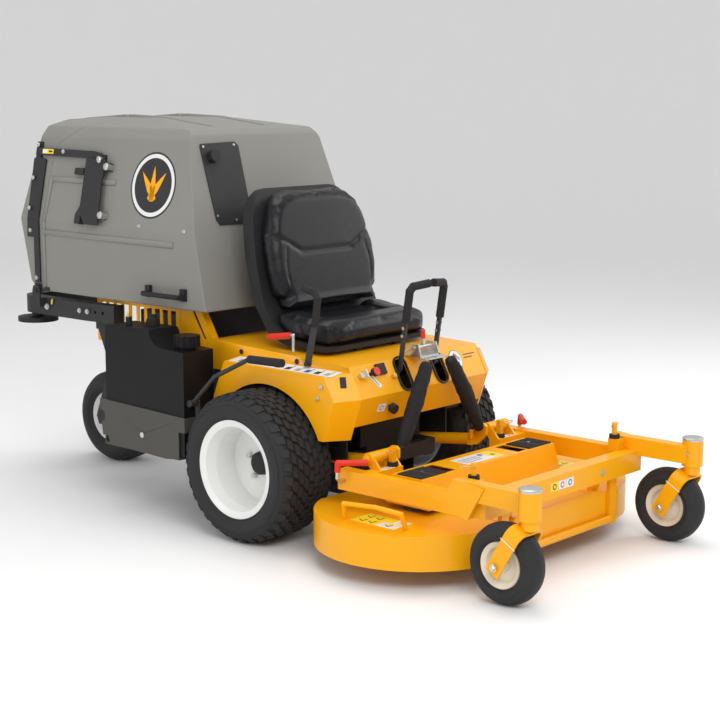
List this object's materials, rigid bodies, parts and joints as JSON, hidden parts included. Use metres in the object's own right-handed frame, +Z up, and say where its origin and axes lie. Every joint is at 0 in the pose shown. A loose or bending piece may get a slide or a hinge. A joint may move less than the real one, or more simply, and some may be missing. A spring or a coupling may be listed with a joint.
{
  "type": "zero turn mower",
  "caption": "Ride-on zero turn mower with an out-front twin-blade deck on casters, driven side wheels, a swivelling tail wheel, a seat with lever steering and a tilting rear grass catcher.",
  "frame": {"origin": "centre of the bounding box in plan, on the ground", "axes": "-Y forwards towards the cutting deck, +X to the machine's left, +Z up"},
  "size_m": [1.1358, 2.336, 1.246],
  "materials": {
    "amber_paint": "gloss",
    "charcoal_paint": "satin",
    "bracket_paint": "satin",
    "white_paint": "gloss",
    "cast_metal": "satin",
    "dark_steel": "satin",
    "zinc_plate": "satin",
    "black_plastic": "matte",
    "tank_plastic": "matte",
    "red_plastic": "gloss",
    "grey_plastic": "matte",
    "cream_plastic": "satin",
    "black_vinyl": "satin",
    "woven_sleeve": "matte",
    "black_rubber": "matte",
    "tyre_rubber": "matte"
  },
  "bodies": {
    "tractor": {"main_frame": "charcoal_paint", "body_shell": "amber_paint", "rear_grilles": "amber_paint", "engine": "cast_metal", "transmissions": "cast_metal", "blower_housing": "black_plastic", "fuel_tank": "tank_plastic", "tank_bracket": "bracket_paint", "bumper_frame": "charcoal_paint", "spring_bracket": "zinc_plate", "dash_trim": "black_plastic", "frame_fasteners": "zinc_plate", "spring_sleeves": "woven_sleeve"},
    "fuel_cap": {"fuel_cap": "tank_plastic"},
    "roller_left": {"bumper_roller_left": "black_rubber"},
    "roller_right": {"bumper_roller_right": "black_rubber"},
    "bracket_lever": {"bracket_lever": "zinc_plate"},
    "seat": {"seat_pan": "black_plastic", "seat_cushion": "black_vinyl", "seat_backrest": "black_vinyl"},
    "steer_left": {"steering_lever_left": "dark_steel", "steering_grip_left": "black_rubber"},
    "steer_right": {"steering_lever_right": "dark_steel", "steering_grip_right": "black_rubber"},
    "speed_lever": {"speed_lever": "dark_steel"},
    "side_lever": {"side_lever": "dark_steel"},
    "clutch_rod": {"clutch_rod": "zinc_plate"},
    "ignition_key": {"ignition_key": "zinc_plate"},
    "throttle_knob": {"throttle_knob": "red_plastic"},
    "choke_knob": {"choke_knob": "black_plastic"},
    "wheel_left": {"drive_rim_left": "white_paint", "drive_tyre_left": "tyre_rubber"},
    "wheel_right": {"drive_rim_right": "white_paint", "drive_tyre_right": "tyre_rubber"},
    "tail_fork": {"tail_fork": "charcoal_paint"},
    "tail_wheel": {"tail_rim": "white_paint", "tail_tyre": "tyre_rubber"},
    "deck_arms": {"push_arms": "amber_paint"},
    "deck": {"deck_frame": "amber_paint", "deck_shell": "amber_paint", "deck_cover": "amber_paint", "deck_handles": "amber_paint", "deck_bumpers": "black_rubber", "deck_gearboxes": "cast_metal"},
    "blade_left": {"blade_left": "dark_steel"},
    "blade_right": {"blade_right": "dark_steel"},
    "latch_left": {"latch_pin_left": "zinc_plate"},
    "latch_right": {"latch_pin_right": "zinc_plate"},
    "caster_left": {"caster_fork_left": "amber_paint"},
    "caster_right": {"caster_fork_right": "amber_paint"},
    "caster_wheel_left": {"caster_rim_left": "cream_plastic", "caster_tyre_left": "tyre_rubber"},
    "caster_wheel_right": {"caster_rim_right": "cream_plastic", "caster_tyre_right": "tyre_rubber"},
    "catcher": {"catcher_shell": "grey_plastic", "catcher_hardware": "charcoal_paint", "access_panel": "charcoal_paint"},
    "catcher_door": {"catcher_door": "grey_plastic", "door_arms": "charcoal_paint"},
    "panel_knob": {"panel_knob": "black_plastic"}
  },
  "joints": [
    {"name": "wheel_left_spin", "type": "hinge", "parent": "tractor", "child": "wheel_left", "pos_m": [0.402, -0.113, 0.228], "axis": [1, 0, 0], "continuous": true},
    {"name": "wheel_right_spin", "type": "hinge", "parent": "tractor", "child": "wheel_right", "pos_m": [-0.402, -0.113, 0.228], "axis": [1, 0, 0], "continuous": true},
    {"name": "tail_swivel", "type": "hinge", "parent": "tractor", "child": "tail_fork", "pos_m": [0, 0.917, 0.43], "axis": [0, 0, 1], "continuous": true},
    {"name": "tail_wheel_spin", "type": "hinge", "parent": "tail_fork", "child": "tail_wheel", "pos_m": [0, 1.007, 0.165], "axis": [1, 0, 0], "continuous": true},
    {"name": "deck_lift", "type": "hinge", "parent": "tractor", "child": "deck_arms", "pos_m": [0, -0.173, 0.225], "axis": [-1, 0, 0], "range_deg": [0, 8]},
    {"name": "deck_tilt", "type": "hinge", "parent": "deck_arms", "child": "deck", "pos_m": [0, -0.491, 0.29], "axis": [-1, 0, 0], "range_deg": [0, 75]},
    {"name": "blade_left_spin", "type": "hinge", "parent": "deck", "child": "blade_left", "pos_m": [0.27, -0.63, 0.09], "axis": [0, 0, 1], "continuous": true},
    {"name": "blade_right_spin", "type": "hinge", "parent": "deck", "child": "blade_right", "pos_m": [-0.27, -0.63, 0.09], "axis": [0, 0, 1], "continuous": true},
    {"name": "caster_left_swivel", "type": "hinge", "parent": "deck", "child": "caster_left", "pos_m": [0.407, -1.123, 0.28], "axis": [0, 0, 1], "continuous": true},
    {"name": "caster_right_swivel", "type": "hinge", "parent": "deck", "child": "caster_right", "pos_m": [-0.407, -1.123, 0.28], "axis": [0, 0, 1], "continuous": true},
    {"name": "caster_left_spin", "type": "hinge", "parent": "caster_left", "child": "caster_wheel_left", "pos_m": [0.407, -1.052, 0.112], "axis": [1, 0, 0], "continuous": true},
    {"name": "caster_right_spin", "type": "hinge", "parent": "caster_right", "child": "caster_wheel_right", "pos_m": [-0.407, -1.052, 0.112], "axis": [1, 0, 0], "continuous": true},
    {"name": "latch_left_pull", "type": "slide", "parent": "deck", "child": "latch_left", "axis": [1, 0, 0], "range_m": [0, 0.02]},
    {"name": "latch_right_pull", "type": "slide", "parent": "deck", "child": "latch_right", "axis": [-1, 0, 0], "range_m": [0, 0.02]},
    {"name": "steer_left_lever", "type": "hinge", "parent": "tractor", "child": "steer_left", "pos_m": [0.08, -0.363, 0.402], "axis": [1, 0, 0], "range_deg": [-1, 14]},
    {"name": "steer_right_lever", "type": "hinge", "parent": "tractor", "child": "steer_right", "pos_m": [-0.08, -0.363, 0.402], "axis": [1, 0, 0], "range_deg": [-1, 14]},
    {"name": "speed_lever_tilt", "type": "hinge", "parent": "tractor", "child": "speed_lever", "pos_m": [-0.312, -0.237, 0.536], "axis": [1, 0, 0], "range_deg": [-12, 18]},
    {"name": "side_lever_lift", "type": "hinge", "parent": "tractor", "child": "side_lever", "pos_m": [-0.455, 0.115, 0.392], "axis": [-1, 0, 0], "range_deg": [0, 28]},
    {"name": "clutch_rod_turn", "type": "hinge", "parent": "tractor", "child": "clutch_rod", "pos_m": [-0.282, -0.149, 0.58], "axis": [0, 0, 1], "range_deg": [0, 60]},
    {"name": "ignition_turn", "type": "hinge", "parent": "tractor", "child": "ignition_key", "pos_m": [-0.268, -0.4063, 0.512], "axis": [0, -0.8829, 0.4695], "range_deg": [0, 60]},
    {"name": "throttle_pull", "type": "slide", "parent": "tractor", "child": "throttle_knob", "axis": [0, -0.8829, 0.4695], "range_m": [0, 0.025]},
    {"name": "choke_pull", "type": "slide", "parent": "tractor", "child": "choke_knob", "axis": [0, -0.9455, -0.3256], "range_m": [0, 0.015]},
    {"name": "bracket_lever_tilt", "type": "hinge", "parent": "tractor", "child": "bracket_lever", "pos_m": [0, -0.422, 0.572], "axis": [1, 0, 0], "range_deg": [0, 35]},
    {"name": "fuel_cap_turn", "type": "hinge", "parent": "tractor", "child": "fuel_cap", "pos_m": [-0.418, 0.177, 0.56], "axis": [0, 0, 1], "range_deg": [0, 90]},
    {"name": "roller_left_spin", "type": "hinge", "parent": "tractor", "child": "roller_left", "pos_m": [0.296, 1.094, 0.544], "axis": [0, 0, 1], "continuous": true},
    {"name": "roller_right_spin", "type": "hinge", "parent": "tractor", "child": "roller_right", "pos_m": [-0.296, 1.094, 0.544], "axis": [0, 0, 1], "continuous": true},
    {"name": "seat_tip", "type": "hinge", "parent": "tractor", "child": "seat", "pos_m": [0, -0.237, 0.557], "axis": [1, 0, 0], "range_deg": [0, 50]},
    {"name": "catcher_tilt", "type": "hinge", "parent": "tractor", "child": "catcher", "pos_m": [0, 1.005, 0.655], "axis": [-1, 0, 0], "range_deg": [0, 45]},
    {"name": "door_open", "type": "hinge", "parent": "catcher", "child": "catcher_door", "pos_m": [0, 0.687, 1.112], "axis": [1, 0, 0], "range_deg": [0, 58]},
    {"name": "panel_knob_turn", "type": "hinge", "parent": "catcher", "child": "panel_knob", "pos_m": [-0.222, 0.26889, 1.12736], "axis": [0, -0.9686, 0.2487], "range_deg": [0, 90]}
  ],
  "couplings": [
    {"joint": "blade_right_spin", "follows": "blade_left_spin", "ratio": -1}
  ]
}
